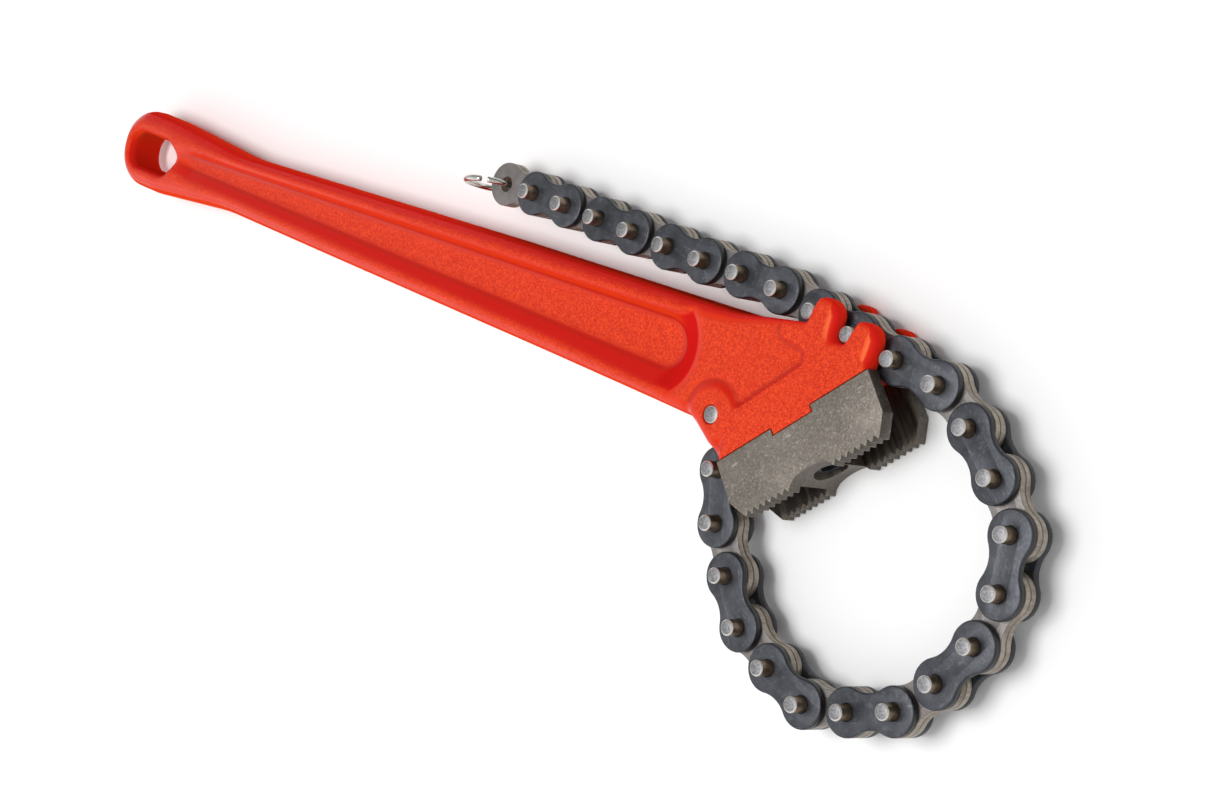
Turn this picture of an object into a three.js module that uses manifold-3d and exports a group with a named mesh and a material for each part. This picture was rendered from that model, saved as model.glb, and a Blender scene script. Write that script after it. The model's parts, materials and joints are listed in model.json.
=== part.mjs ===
// Heavy-duty pipe chain wrench: a cast handle with a forked head, a bolted double jaw, and a leaf chain of
// 27 links that wraps a pipe and hooks its pins into the fork.
// Millimetres. The wrench lies on its side: +X runs along the handle to the head, +Z is up and parallel to
// every chain pin, z = 0 is the surface it lies on. The origin is the middle of the head's lower side pad.
import * as THREE from "three";
import { mergeVertices } from "three/addons/utils/BufferGeometryUtils.js";
import Module from "manifold-3d";

const wasm = await Module();
wasm.setup();

// ---- driving dimensions ----
const headThickness = 26;
const middle = headThickness / 2;
const wallThickness = 5.7; // each wall of the fork, and each flange of the jaw
const padStep = 1; // the side pads stand this far above the rest of the head
const gap = 0.3; // between parts that are bolted or laid against each other
const past = 5; // how far a cutting solid runs past what it cuts

const bossRadius = 11.5; // the raised pad round the anchor pin
const stripWidth = 13.5; // the raised pad along the jaw's seat
const handleEndHalf = 9.4; // half the handle's thickness at its end
const handleNeckHalf = 10.6; // and where it starts to widen into the head
const webHalf = 5.2; // half the thickness left between the two recesses
const recessSlope = 5; // run and rise of the recess walls
const hangRadius = 7.8;
const hangNear = new THREE.Vector2(-402.4, -10.6); // centres of the hang hole's two round ends
const hangFar = new THREE.Vector2(-417.8, -11);

const pitch = 19.05;
const plateThickness = 2.8;
const plateGap = 0.25;
const lobeRadius = 8.6;
const waistHalf = 6.2;
const pinRadius = 2.9;
const holeRadius = 3.05; // inside radius of the faceted holes
const pinLength = 24;
const pinBottom = 0.1;
const pinSides = 8;
const firstPlate = 6.1; // underside of the lowest chain plate

const anchor = new THREE.Vector2(-29.7, -15.3);
const anchorInset = 0.2; // the anchor pin stops this far under each side pad
const hookInner = new THREE.Vector2(15.1, 28.0); // seat of the hooked link's pin nearer the jaw
const hookOuter = new THREE.Vector2(-3.75, 30.75); // seat of its other pin
const chainRoom = 9.4; // radius cleared round every pin that works between the fork's walls
const firstLinkSwing = 22; // degrees that the first link can swing towards the jaw

// Headings of the links from the anchor to the far side of the loop, and from there back to the hook, in
// degrees from +X. Each of the two runs is turned a little as a whole so that the loop closes on the hook.
const outwardHeadings = [-77.6, -70.7, -54.4, -49.3, -24.1, -17.1, 15.5, 23.9];
const returnHeadings = [51, 60.9, 82.1, 98.1, 130.5, 141, 150.7, 171.9, 171.8];
// Headings of the free tail beyond the hook.
const tailHeadings = [171.8, 178.8, 180.9, 179.7, 178.8, 179.7, 179.2, 180, 182];

const seatLength = 71; // the jaw's seat, along the direction u
const seatStart = new THREE.Vector2(-20.5, -29.7);
const seatAngle = 45;
const tenonStart = 26.5;
const tenonEnd = 44.5;
const tenonDepth = 2.6;
const jawHeight = 23.5;
const jawShoulder = 16.2;
const jawChamfer = 3.6;
const toothDepth = 1.7;
const teethPerGroup = 8;
const reliefDepth = 2; // of the hollow between the two groups of teeth
const reliefLip = 1.4;
const reliefLead = 2.5;
const screwRadius = 4;
const screwHeadRadius = 5.9;
const screwHeadHeight = 8;
const screwLength = 34;
const counterboreDepth = 13.5;
const socketRadius = 3.5;
const socketDepth = 4;
const edgeChamfer = 0.7;

const ringWire = 1.3;
const ringRadius = 10.4;
const ringHeading = 193;
const ringLean = 12; // degrees that the ring's top leans away from the handle
const ringGapAt = 123; // degrees round the wire, up from the far side
const ringHalfGap = 10;

// ---- solids ----
function solid(geometry) {
  const bare = geometry.index ? geometry.toNonIndexed() : geometry.clone();
  bare.deleteAttribute("normal");
  bare.deleteAttribute("uv");
  const merged = mergeVertices(bare, 1e-4);
  const mesh = new wasm.Mesh({
    numProp: 3,
    vertProperties: new Float32Array(merged.attributes.position.array),
    triVerts: new Uint32Array(merged.index.array),
  });
  return new wasm.Manifold(mesh);
}

function geometryOf(body) {
  const mesh = body.getMesh();
  const geometry = new THREE.BufferGeometry();
  const positions = new Float32Array(mesh.numVert * 3);
  for (let i = 0; i < mesh.numVert; i++) {
    positions.set(mesh.vertProperties.subarray(i * mesh.numProp, i * mesh.numProp + 3), i * 3);
  }
  geometry.setAttribute("position", new THREE.BufferAttribute(positions, 3));
  geometry.setIndex(new THREE.BufferAttribute(mesh.triVerts, 1));
  return geometry;
}

// ---- outlines ----
const radians = THREE.MathUtils.degToRad;

function arc(x, y, radius, from, to, steps) {
  const points = [];
  for (let i = 0; i <= steps; i++) {
    const angle = radians(from + ((to - from) * i) / steps);
    points.push(new THREE.Vector2(x + radius * Math.cos(angle), y + radius * Math.sin(angle)));
  }
  return points;
}

// A closed polygon whose corners [x, y, radius] are rounded by arcs of the given radius.
function rounded(corners, degreesPerStep = 22) {
  const points = [];
  const count = corners.length;
  corners.forEach(([x, y, radius = 0], i) => {
    const corner = new THREE.Vector2(x, y);
    if (radius === 0) {
      points.push(corner);
      return;
    }
    const [px, py] = corners[(i + count - 1) % count];
    const [nx, ny] = corners[(i + 1) % count];
    const toPrevious = new THREE.Vector2(px, py).sub(corner).normalize();
    const toNext = new THREE.Vector2(nx, ny).sub(corner).normalize();
    const between = Math.acos(THREE.MathUtils.clamp(toPrevious.dot(toNext), -1, 1));
    const turn = Math.PI - between;
    const tangent = radius * Math.tan(turn / 2);
    const start = corner.clone().addScaledVector(toPrevious, tangent);
    const bisector = toPrevious.clone().add(toNext).normalize();
    const centre = corner.clone().addScaledVector(bisector, radius / Math.cos(turn / 2));
    const side = Math.sign(toNext.cross(toPrevious)) || 1;
    const steps = Math.max(1, Math.round(THREE.MathUtils.radToDeg(turn) / degreesPerStep));
    for (let k = 0; k <= steps; k++) {
      points.push(start.clone().rotateAround(centre, (side * turn * k) / steps));
    }
  });
  return points;
}

function prism(points, bottom, top, holes = []) {
  const shape = new THREE.Shape(points);
  shape.holes = holes.map((hole) => new THREE.Path(hole));
  const geometry = new THREE.ExtrudeGeometry(shape, { depth: top - bottom, bevelEnabled: false });
  geometry.translate(0, 0, bottom);
  return geometry;
}

function circle(x, y, radius, sides) {
  return arc(x, y, radius, 0, 360 - 360 / sides, sides - 1);
}

// A faceted circle whose flats lie on the radius, so that a round pin of that radius fits inside it.
function holeCircle(x, y, radius, sides = pinSides) {
  return circle(x, y, radius / Math.cos(Math.PI / sides), sides);
}

// ---- the chain ----
function plateOutline() {
  const half = pitch / 2;
  const waistRadius =
    (half * half + waistHalf * waistHalf - lobeRadius * lobeRadius) / (2 * (lobeRadius - waistHalf));
  const waistCentre = waistHalf + waistRadius;
  const tangent = THREE.MathUtils.radToDeg(Math.atan2(waistCentre, half));
  const lobeSteps = 7;
  const waistSteps = 2;
  return [
    ...arc(0, 0, lobeRadius, tangent, 360 - tangent, lobeSteps),
    ...arc(half, -waistCentre, waistRadius, 180 - tangent, tangent, waistSteps).slice(1, -1),
    ...arc(pitch, 0, lobeRadius, tangent - 180, 180 - tangent, lobeSteps),
    ...arc(half, waistCentre, waistRadius, -tangent, tangent - 180, waistSteps).slice(1, -1),
  ];
}

const outline = plateOutline();
const bothHoles = [holeCircle(0, 0, holeRadius), holeCircle(pitch, 0, holeRadius)];
const plateLevel = (n) => firstPlate + n * (plateThickness + plateGap);

function drilledPlate(level) {
  return prism(outline, plateLevel(level), plateLevel(level) + plateThickness, bothHoles);
}

// The lower outer plate with its two pins pressed in.
function pinPlate() {
  const plate = solid(prism(outline, plateLevel(0), plateLevel(0) + plateThickness));
  const pin = (x) => solid(prism(circle(x, 0, pinRadius, pinSides), pinBottom, pinBottom + pinLength));
  return geometryOf(plate.add(pin(0)).add(pin(pitch)));
}

const headingOf = (vector) => THREE.MathUtils.radToDeg(vector.angle());
const zero = new THREE.Vector2();
const linkVector = (heading) => new THREE.Vector2(pitch, 0).rotateAround(zero, radians(heading));

function runVector(headings) {
  return headings.reduce((sum, heading) => sum.add(linkVector(heading)), new THREE.Vector2());
}

// Where each link starts and which way it heads, from the anchor to the free end.
function chainRoute() {
  const outward = runVector(outwardHeadings);
  const back = runVector(returnHeadings);
  const span = hookInner.clone().sub(anchor);
  // The two runs and the line from anchor to hook are the three sides of a triangle.
  const [a, b, c] = [outward.length(), back.length(), span.length()];
  const corner = THREE.MathUtils.radToDeg(Math.acos((a * a + c * c - b * b) / (2 * a * c)));
  const outwardTurn = headingOf(span) - corner - headingOf(outward);
  const far = outward.clone().rotateAround(zero, radians(outwardTurn));
  const returnTurn = headingOf(span.clone().sub(far)) - headingOf(back);
  const headings = [
    ...outwardHeadings.map((heading) => heading + outwardTurn),
    ...returnHeadings.map((heading) => heading + returnTurn),
    headingOf(hookOuter.clone().sub(hookInner)),
    ...tailHeadings,
  ];
  let at = anchor.clone();
  return headings.map((heading) => {
    const link = { start: at, heading };
    at = at.clone().add(linkVector(heading));
    return link;
  });
}

const route = chainRoute();

// ---- the head and handle ----
const seatFrame = new THREE.Matrix4()
  .makeRotationZ(radians(seatAngle))
  .setPosition(seatStart.x, seatStart.y, 0)
  .multiply(new THREE.Matrix4().makeScale(1, -1, 1)); // u along the seat, v away from the head

// A point of the seat's plane: u along the seat, v out of the head.
function seat(u, v) {
  const point = new THREE.Vector3(u, v, 0).applyMatrix4(seatFrame);
  return [point.x, point.y];
}

function handleOutline() {
  const [endX, endY] = seat(seatLength, 0);
  return rounded([
    [-433.2, -27.3, 17],
    [-402, -27, 40],
    [-345, -21.2, 120],
    [-39.5, -18.5, 8],
    seat(0, 0),
    seat(tenonStart, 0),
    seat(tenonStart, tenonDepth),
    seat(tenonEnd, tenonDepth),
    seat(tenonEnd, 0),
    [endX, endY],
    [30.1, 26, 3],
    [30.1, 34.4, 6],
    [20.7, 34.4, 2.6],
    [17.6, 24.7, 2.2],
    [11.8, 24.7, 3],
    [11.4, 37.2, 6],
    [1.4, 37.8, 3.6],
    [-0.7, 27.4, 0],
    [-34, 21.3, 60],
    [-160, 15.6, 200],
    [-330, 5.6, 120],
    [-402, 9.2, 60],
    [-433.2, 8.9, 17],
  ]);
}

// The raised side pads: a boss round the anchor pin, a strip along the jaw seat and the fork.
function padRegion() {
  const strip = rounded([
    seat(-12, 30),
    seat(90, 30),
    [45, 45],
    [-11.4, 45],
    [-11.4, 19.6, 3],
    [0.5, 18.4, 5],
    seat(40, -stripWidth),
    seat(12, -stripWidth),
    seat(0, 0),
  ]);
  const boss = circle(anchor.x, anchor.y, bossRadius, 24);
  const through = (outlinePoints) => solid(prism(outlinePoints, -past, headThickness + past));
  return through(strip).add(through(boss));
}

// A stadium from a to b, whose ends may have different radii.
function stadium(a, b, radiusA, radiusB, steps = 8) {
  const along = b.clone().sub(a);
  const heading = THREE.MathUtils.radToDeg(along.angle());
  const lean = THREE.MathUtils.radToDeg(Math.acos((radiusA - radiusB) / along.length()));
  return [
    ...arc(a.x, a.y, radiusA, heading + lean, heading + 360 - lean, steps),
    ...arc(b.x, b.y, radiusB, heading - lean, heading + lean, steps),
  ];
}

// A pocket with sloping walls, cut down from above to the upper side of the web. Side -1 draws it mirrored
// across the X axis.
function recess(side) {
  const floorEnd = new THREE.Vector2(-412, -10 * side);
  const floorStart = new THREE.Vector2(-61, -side);
  const shape = new THREE.Shape(stadium(floorEnd, floorStart, 3.2, 7.5, 6));
  const geometry = new THREE.ExtrudeGeometry(shape, {
    depth: headThickness,
    bevelEnabled: true,
    bevelThickness: recessSlope,
    bevelSize: recessSlope,
    bevelSegments: 1,
  });
  geometry.translate(0, 0, middle + webHalf + recessSlope);
  return geometry;
}

function forkSlots() {
  const low = wallThickness;
  const high = headThickness - wallThickness;
  const room = chainRoom;
  const beyondHook = route[16].start;
  const beforeHook = hookOuter.clone().lerp(route[19].start, 0.25);
  const aboveHook = [
    new THREE.Vector2(beforeHook.x - room, beforeHook.y),
    new THREE.Vector2(beyondHook.x + room, beyondHook.y),
    new THREE.Vector2(beyondHook.x + room, 60),
    new THREE.Vector2(beforeHook.x - room, 60),
  ];
  const firstPin = route[1].start;
  const swung = firstPin.clone().rotateAround(anchor, radians(firstLinkSwing));
  return [
    prism(stadium(beforeHook, beyondHook, room, room), low, high),
    prism(aboveHook, low, high),
    prism(stadium(anchor, firstPin, room - 0.2, room), low, high),
    prism(stadium(anchor, swung, room - 0.2, room), low, high),
    prism(stadium(firstPin, swung, room, room - 0.01), low, high),
  ].map(solid);
}

// The screw's axis runs along v, in the middle of the seat and of the thickness.
function onScrewAxis(geometry) {
  const [x, y] = seat(seatLength / 2, 0);
  geometry.rotateZ(radians(seatAngle - 180)); // the lathe's +Y becomes +v
  geometry.translate(x, y, middle);
  return geometry;
}

function screwHole(radius, from, to) {
  const sides = 16;
  const facet = radius / Math.cos(Math.PI / sides);
  const profile = [
    [0, from],
    [facet, from],
    [facet, to],
    [0, to],
  ];
  return onScrewAxis(new THREE.LatheGeometry(profile.map((p) => new THREE.Vector2(...p)), sides));
}

function handle() {
  // Half the thickness at stations along the handle.
  const side = [
    [-440, handleEndHalf],
    [-120, handleNeckHalf],
    [-60, middle - padStep],
    [40, middle - padStep],
  ];
  const upper = side.map(([x, half]) => new THREE.Vector2(x, middle + half));
  const lower = side.map(([x, half]) => new THREE.Vector2(x, middle - half)).reverse();
  const sideSlab = prism([...upper, ...lower], -60, 60).rotateX(Math.PI / 2);
  const plan = handleOutline();
  const through = (points) => solid(prism(points, -past, headThickness + past));
  const pads = solid(prism(plan, 0, headThickness)).intersect(padRegion());
  const lowerRecess = recess(-1).rotateX(Math.PI).translate(0, 0, headThickness);
  const cuts = [
    solid(recess(1)),
    solid(lowerRecess),
    through(stadium(hangFar, hangNear, hangRadius, hangRadius - 0.1)),
    ...forkSlots(),
    through(holeCircle(anchor.x, anchor.y, holeRadius, 16)),
    solid(screwHole(screwRadius + gap, -24, tenonDepth + past)),
  ];
  const blank = through(plan).intersect(solid(sideSlab)).add(pads);
  return geometryOf(cuts.reduce((body, cut) => body.subtract(cut), blank));
}

// ---- the jaw ----
function jaw() {
  const corners = [];
  const add = (u, v) => corners.push(new THREE.Vector2(u, v));
  const toothPitch = (tenonStart - jawChamfer) / teethPerGroup;
  const teeth = (from) => {
    for (let i = 0; i < teethPerGroup; i++) {
      add(from + i * toothPitch, jawHeight - toothDepth);
      add(from + (i + 0.5) * toothPitch, jawHeight);
    }
    add(from + teethPerGroup * toothPitch, jawHeight - toothDepth);
  };
  add(0, gap);
  add(0, jawShoulder);
  teeth(jawChamfer);
  add(tenonStart + reliefLead, jawHeight - toothDepth - reliefLip);
  add(seatLength / 2, jawHeight - toothDepth - reliefDepth);
  add(tenonEnd - reliefLead, jawHeight - toothDepth - reliefLip);
  teeth(tenonEnd);
  add(seatLength, jawShoulder);
  add(seatLength, gap);
  add(tenonEnd + gap, gap);
  add(tenonEnd + gap, tenonDepth + gap);
  add(tenonStart - gap, tenonDepth + gap);
  add(tenonStart - gap, gap);
  const placed = corners.map((p) => new THREE.Vector2(...seat(p.x, p.y)));
  // The room between the two flanges, from one station along u to another.
  const slot = (from, to) => {
    const ends = [
      [from, -past],
      [to, -past],
      [to, jawHeight + past],
      [from, jawHeight + past],
    ];
    const points = ends.map(([u, v]) => new THREE.Vector2(...seat(u, v)));
    return solid(prism(points, wallThickness, headThickness - wallThickness));
  };
  const cuts = [
    slot(-past, tenonStart),
    slot(tenonEnd, seatLength + past),
    solid(screwHole(screwRadius + gap, -past, jawHeight + past)),
    solid(screwHole(screwHeadRadius + gap, jawHeight - counterboreDepth, jawHeight + past)),
  ];
  const blank = solid(prism(placed, 0, headThickness));
  return geometryOf(cuts.reduce((body, cut) => body.subtract(cut), blank));
}

function jawScrew() {
  const headBottom = jawHeight - counterboreDepth + gap;
  const top = headBottom + screwHeadHeight;
  const tip = headBottom - screwLength + screwHeadHeight;
  const profile = [
    [0, tip],
    [screwRadius - edgeChamfer, tip],
    [screwRadius, tip + edgeChamfer],
    [screwRadius, headBottom],
    [screwHeadRadius, headBottom],
    [screwHeadRadius, top - edgeChamfer],
    [screwHeadRadius - edgeChamfer, top],
    [0, top],
  ];
  const screw = new THREE.LatheGeometry(profile.map((p) => new THREE.Vector2(...p)), 16);
  const socket = new THREE.CylinderGeometry(socketRadius, socketRadius, 2 * socketDepth, 6);
  socket.translate(0, top, 0);
  const cut = solid(screw).subtract(solid(socket));
  return onScrewAxis(geometryOf(cut));
}

// ---- the end ring: an open ring of wire that stands nearly upright through the free end link ----
class RingArc extends THREE.Curve {
  getPoint(t, target = new THREE.Vector3()) {
    const angle = radians(ringGapAt + ringHalfGap + t * (360 - 2 * ringHalfGap));
    return target.set(ringRadius * (1 + Math.cos(angle)), 0, ringRadius * Math.sin(angle));
  }
}

function endRing() {
  const section = new THREE.Shape(circle(0, 0, ringWire, 8));
  return new THREE.ExtrudeGeometry(section, { steps: 28, bevelEnabled: false, extrudePath: new RingArc() });
}

// ---- materials ----
const enamel = () => new THREE.MeshStandardMaterial({ color: 0xee4426, roughness: 0.4, metalness: 0.0 });
const blackOxide = () => new THREE.MeshStandardMaterial({ color: 0x555b63, roughness: 0.5, metalness: 0.7 });
const bareSteel = () => new THREE.MeshStandardMaterial({ color: 0x8c8273, roughness: 0.5, metalness: 0.8 });
const groundSteel = () => new THREE.MeshStandardMaterial({ color: 0x807870, roughness: 0.4, metalness: 0.8 });
const nickel = () => new THREE.MeshStandardMaterial({ color: 0xd8d6d2, roughness: 0.2, metalness: 1.0 });

const wrench = new THREE.Group();

function place(name, geometry, material, parent = wrench) {
  const mesh = new THREE.Mesh(geometry, material);
  mesh.name = name;
  parent.add(mesh);
  return mesh;
}

place("handle", handle(), enamel());
place("jaw", jaw(), groundSteel());
place("jaw_screw", jawScrew(), blackOxide());
const anchorPin = prism(circle(anchor.x, anchor.y, pinRadius, 24), anchorInset, headThickness - anchorInset);
place("anchor_pin", anchorPin, groundSteel());

// Odd links are the inner ones, a pair of leaves; even links are the outer ones, which carry the pins.
route.forEach(({ start, heading }, i) => {
  const link = new THREE.Group();
  link.position.set(start.x, start.y, 0);
  link.rotation.z = radians(heading);
  wrench.add(link);
  const label = "link" + String(i + 1).padStart(2, "0");
  if (i % 2 === 0) {
    place(label + "_lower_leaf", drilledPlate(1), bareSteel(), link);
    place(label + "_upper_leaf", drilledPlate(2), bareSteel(), link);
  } else {
    place(label + "_pin_plate", pinPlate(), blackOxide(), link);
    place(label + "_outer_plate", drilledPlate(3), blackOxide(), link);
  }
});

const lastLink = route[route.length - 1];
const ring = place("end_ring", endRing(), nickel());
const ringHole = lastLink.start.clone().add(linkVector(lastLink.heading));
ring.position.set(ringHole.x, ringHole.y, plateLevel(2) - plateGap / 2);
ring.rotation.set(radians(ringLean), 0, radians(ringHeading), "ZYX");

export default wrench;
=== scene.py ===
"""Pipe chain wrench: a cast enamelled handle, a ground double jaw and a leaf chain.

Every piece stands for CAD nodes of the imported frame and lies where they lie.
"""
import json
import math

import bpy
import numpy as np
from mathutils import Matrix, Vector
from mathutils.geometry import tessellate_polygon


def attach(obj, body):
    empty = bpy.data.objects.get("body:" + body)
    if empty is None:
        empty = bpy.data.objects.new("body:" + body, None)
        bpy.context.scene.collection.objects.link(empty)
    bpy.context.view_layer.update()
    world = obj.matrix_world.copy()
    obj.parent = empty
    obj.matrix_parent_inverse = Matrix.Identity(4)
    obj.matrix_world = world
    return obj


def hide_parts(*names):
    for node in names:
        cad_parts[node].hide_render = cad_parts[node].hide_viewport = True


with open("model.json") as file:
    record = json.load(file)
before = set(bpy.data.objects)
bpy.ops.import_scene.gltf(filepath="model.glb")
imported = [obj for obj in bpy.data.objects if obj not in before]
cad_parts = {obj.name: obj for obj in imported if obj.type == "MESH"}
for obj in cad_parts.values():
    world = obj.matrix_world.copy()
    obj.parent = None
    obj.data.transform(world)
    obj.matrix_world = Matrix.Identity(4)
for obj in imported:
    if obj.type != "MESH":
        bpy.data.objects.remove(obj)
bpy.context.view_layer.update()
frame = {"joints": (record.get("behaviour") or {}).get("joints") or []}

MM = 0.001
BODY = "wrench_body"

# ---- driving dimensions, in millimetres: the frame's, and a few of finer details ----
HEAD_THICKNESS = 26.0
MIDDLE = HEAD_THICKNESS / 2
WALL = 5.7  # thickness of the fork's walls and of the jaw's flanges
FIT = 0.3  # play between parts that lie against each other

LINKS = 27
PITCH = 19.05
PLATE = 2.8
PLATE_GAP = 0.25
FIRST_PLATE = 6.1  # height of the lowest plate's underside
LOBE = 8.6  # radius of a plate's round ends
WAIST = 6.2  # half width of a plate between its pins
LEAF_EDGE = 0.35
PLATE_EDGE = 0.7
PIN_RADIUS = 2.9
PIN_CHAMFER = 0.5
PIN_BOTTOM = 0.15
PIN_TOP = 24.05
HOLE_RADIUS = 3.02
RIVET_HEAD = 3.2
RIVET_PLAY = 0.25

SEAT_START = np.array([-20.5, -29.7])
SEAT_LENGTH = 71.0
DIAGONAL = math.sqrt(0.5)  # the seat lies at 45 degrees
TENON = (26.5, 44.5)
TENON_DEPTH = 2.6
JAW_HEIGHT = 23.5
JAW_SHOULDER = 16.2
JAW_CHAMFER = 3.6
JAW_BEVEL = 0.22
CUT_PAST = 5.0  # how far a slot's cutter reaches past the jaw
TEETH = 8
TOOTH_DEPTH = 1.7
TOOTH_TIP = (0.42, 0.58)  # where a tooth's flat tip starts and ends, in tooth widths
RELIEF = 2.0  # depth of the web's hollow between the two rows of teeth
RELIEF_HALF = 8.2
RELIEF_MARGIN = 2.0
RELIEF_STEP = 0.2
SCREW_BORE = 4.3
SCREW_BORE_DEPTH = 24.0  # in the head, from the seat
SCREW_BORE_TOP = 30.0  # anywhere above the jaw
SCREW_SHANK = 4.0
SCREW_LENGTH = 34.0
SCREW_HEAD = (5.9, 8.0)  # radius and height
SOCKET = (3.45, 4.0)  # corner radius and depth
SOCKET_PAST = 2.0
COUNTERBORE = 6.2
COUNTERBORE_DEPTH = 13.5
COUNTERBORE_TOP = 21.0  # anywhere above the web's hollow

RING_WIRE = 1.25
RING_RADIUS = 10.7
RING_RAISE = 0.3
RING_HEADING = 192.6
RING_LEAN = 5.0
RING_GAP_AT = 117.5
RING_HALF_GAP = 8.5


# ---- meshes ----
def new_object(name, data):
    made = bpy.data.objects.new(name, data)
    bpy.context.scene.collection.objects.link(made)
    return made


def smooth(mesh, sharp):
    """Shades the mesh smooth, except at edges sharper than the given angle."""
    mesh.polygons.foreach_set("use_smooth", [True] * len(mesh.polygons))
    if sharp:
        mesh.set_sharp_from_angle(angle=math.radians(sharp))


def mesh_object(name, vertices, faces, sharp=None):
    mesh = bpy.data.meshes.new(name)
    mesh.from_pydata([tuple(v) for v in vertices], [], [tuple(f) for f in faces])
    mesh.update()
    smooth(mesh, sharp)
    return new_object(name, mesh)


def settle(piece, body, material, node):
    """Gives the piece its finish, and puts it on its body in place of its CAD node."""
    piece.data.materials.clear()
    piece.data.materials.append(material)
    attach(piece, body)
    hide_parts(node)


def circle(x, y, radius, count):
    turn = np.arange(count) * 2 * math.pi / count
    return np.stack([x + radius * np.cos(turn), y + radius * np.sin(turn)], 1)


def arc(x, y, radius, start, end, steps):
    turn = np.radians(np.linspace(start, end, steps + 1))
    return np.stack([x + radius * np.cos(turn), y + radius * np.sin(turn)], 1)


def inset(points, amount):
    """A closed anticlockwise loop moved inwards by amount, corners mitred."""
    before = points - np.roll(points, 1, 0)
    after = np.roll(points, -1, 0) - points
    normals = []
    for edge in (before, after):
        length = np.maximum(np.linalg.norm(edge, axis=1, keepdims=True), 1e-9)
        normals.append(np.stack([-edge[:, 1], edge[:, 0]], 1) / length)
    middle = normals[0] + normals[1]
    middle /= np.maximum(np.linalg.norm(middle, axis=1, keepdims=True), 1e-9)
    stretch = np.maximum((middle * normals[0]).sum(1, keepdims=True), 0.35)
    return points + middle * amount / stretch


def edge_profile(bottom, top, round_by, steps=3):
    """(inset, z) pairs up a wall whose two edges are rounded."""
    turns = np.linspace(0, math.pi / 2, steps + 1)
    low = [(round_by * (1 - math.sin(t)), bottom + round_by * (1 - math.cos(t))) for t in turns]
    high = [(round_by * (1 - math.cos(t)), top - round_by * (1 - math.sin(t))) for t in turns]
    return low + high


def rounded_plate(outer, holes, bottom, top, outer_round, hole_round=0.25):
    """A plate with holes whose edges are all rounded. Returns vertices in mm and faces."""
    vertices, faces, caps = [], [], ([], [])
    for loop, amount in [(outer, outer_round)] + [(hole[::-1], hole_round) for hole in holes]:
        rings = []
        for shift, z in edge_profile(bottom, top, amount):
            first = sum(len(v) for v in vertices)
            moved = inset(loop, shift)
            vertices.append(np.column_stack([moved, np.full(len(moved), z)]))
            rings.append(np.arange(first, first + len(moved)))
        for low, high in zip(rings, rings[1:]):
            nxt_low, nxt_high = np.roll(low, -1), np.roll(high, -1)
            faces += np.stack([low, nxt_low, nxt_high, high], 1).tolist()
        caps[0].append(rings[0])
        caps[1].append(rings[-1])
    vertices = np.concatenate(vertices)
    for side, loops in enumerate(caps):
        index = np.concatenate(loops)
        polygons = [[Vector((*vertices[i][:2], 0)) for i in loop] for loop in loops]
        for tri in tessellate_polygon(polygons):
            tri = [int(index[i]) for i in tri]
            (ax, ay), (bx, by), (cx, cy) = (vertices[i][:2] for i in tri)
            up = (bx - ax) * (cy - ay) - (by - ay) * (cx - ax) > 0
            faces.append(tri if up == bool(side) else tri[::-1])
    return vertices, faces


def lathe(profile, count):
    """A solid of revolution about Z, from (radius, z) pairs that start and end on the axis."""
    vertices, rings, faces = [], [], []
    turn = np.arange(count) * 2 * math.pi / count
    for radius, z in profile:
        if radius < 1e-6:
            rings.append(np.full(count, len(vertices)))
            vertices.append((0, 0, z))
        else:
            rings.append(np.arange(len(vertices), len(vertices) + count))
            ring = [radius * np.cos(turn), radius * np.sin(turn), np.full(count, z)]
            vertices += np.stack(ring, 1).tolist()
    for low, high in zip(rings, rings[1:]):
        for a, b, c, d in zip(low, np.roll(low, -1), np.roll(high, -1), high):
            face = list(dict.fromkeys([int(a), int(b), int(c), int(d)]))
            if len(face) > 2:
                faces.append(face)
    return np.array(vertices), faces


def cut(piece, cutter):
    """Takes the cutter out of the piece, and removes the cutter."""
    modifier = piece.modifiers.new("cut", "BOOLEAN")
    modifier.operation = "DIFFERENCE"
    modifier.solver = "EXACT"
    modifier.object = cutter
    bake(piece)
    bpy.data.objects.remove(cutter)


def bake(piece):
    """Applies the piece's modifiers."""
    graph = bpy.context.evaluated_depsgraph_get()
    mesh = bpy.data.meshes.new_from_object(piece.evaluated_get(graph))
    piece.modifiers.clear()
    piece.data = mesh


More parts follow.
